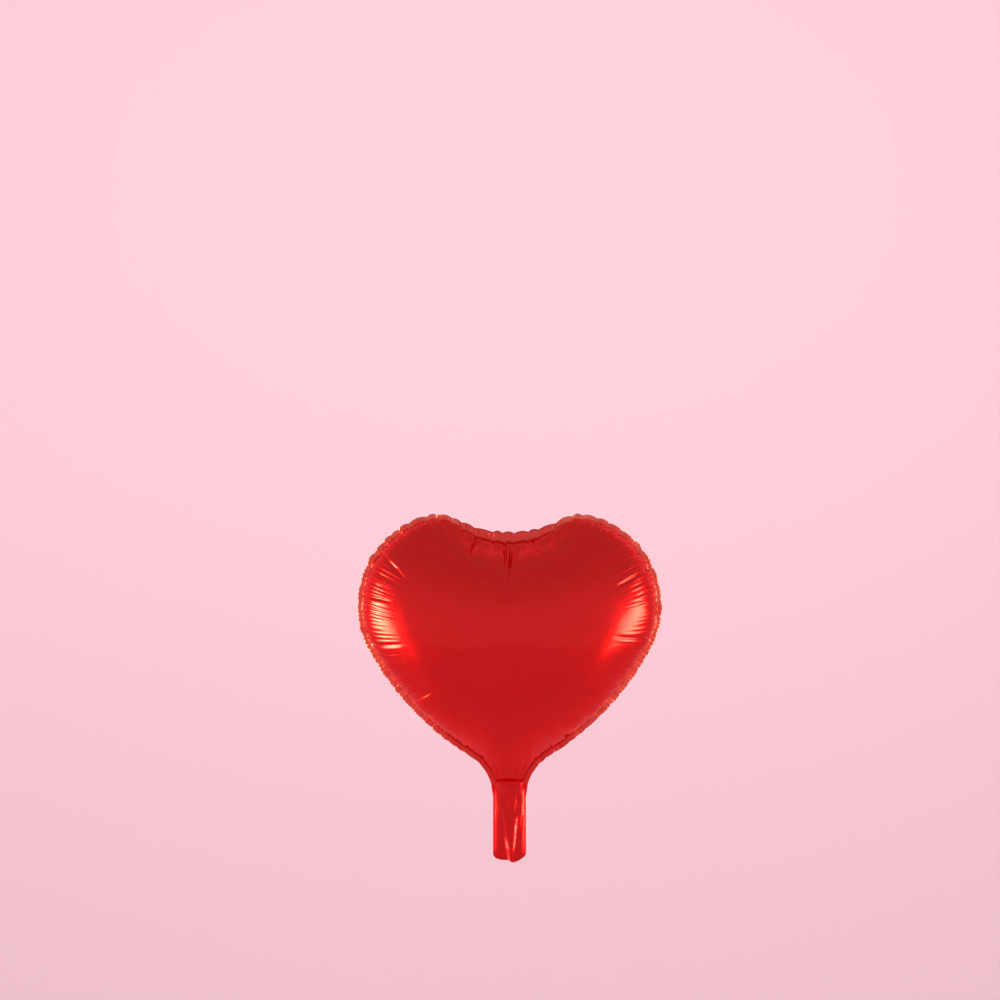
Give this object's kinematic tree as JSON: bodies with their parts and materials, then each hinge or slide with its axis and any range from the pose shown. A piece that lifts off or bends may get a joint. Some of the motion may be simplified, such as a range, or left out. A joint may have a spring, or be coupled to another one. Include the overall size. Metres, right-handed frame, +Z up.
{
  "type": "heart-shaped foil balloon",
  "caption": "Inflated heart-shaped foil balloon with a sealed rim and a flat filling neck that folds, with a self-sealing film valve inside.",
  "frame": {"origin": "middle of the fold line at the root of the neck, where the balloon is tied and filled", "axes": "+Z up the heart from the neck to the cleft, +X across it, -Y out of the front panel"},
  "size_m": [0.3126, 0.1512, 0.358],
  "materials": {
    "red_foil": "metallised film under a clear red coat, satin to glossy",
    "clear_valve_film": "thin milky-clear polyethylene film"
  },
  "bodies": {
    "envelope": {"front_panel": "red_foil", "back_panel": "red_foil"},
    "neck": {"neck_front_ply": "red_foil", "neck_back_ply": "red_foil", "valve_front_sheet": "clear_valve_film", "valve_back_sheet": "clear_valve_film"},
    "front_lip": {"valve_front_lip": "clear_valve_film"},
    "back_lip": {"valve_back_lip": "clear_valve_film"}
  },
  "joints": [
    {"name": "neck_fold", "type": "hinge", "parent": "envelope", "child": "neck", "pos_m": [0, 0, 0], "axis": [1, 0, 0], "range_deg": [-100, 100]},
    {"name": "front_lip_part", "type": "hinge", "parent": "envelope", "child": "front_lip", "pos_m": [0, 0, 0.007], "axis": [1, 0, 0], "range_deg": [0, 10], "stiffness_Nm_per_rad": 0.0005},
    {"name": "back_lip_part", "type": "hinge", "parent": "envelope", "child": "back_lip", "pos_m": [0, 0, 0.007], "axis": [1, 0, 0], "range_deg": [-10, 0]}
  ],
  "couplings": [
    {"joint": "back_lip_part", "follows": "front_lip_part", "ratio": -1}
  ]
}
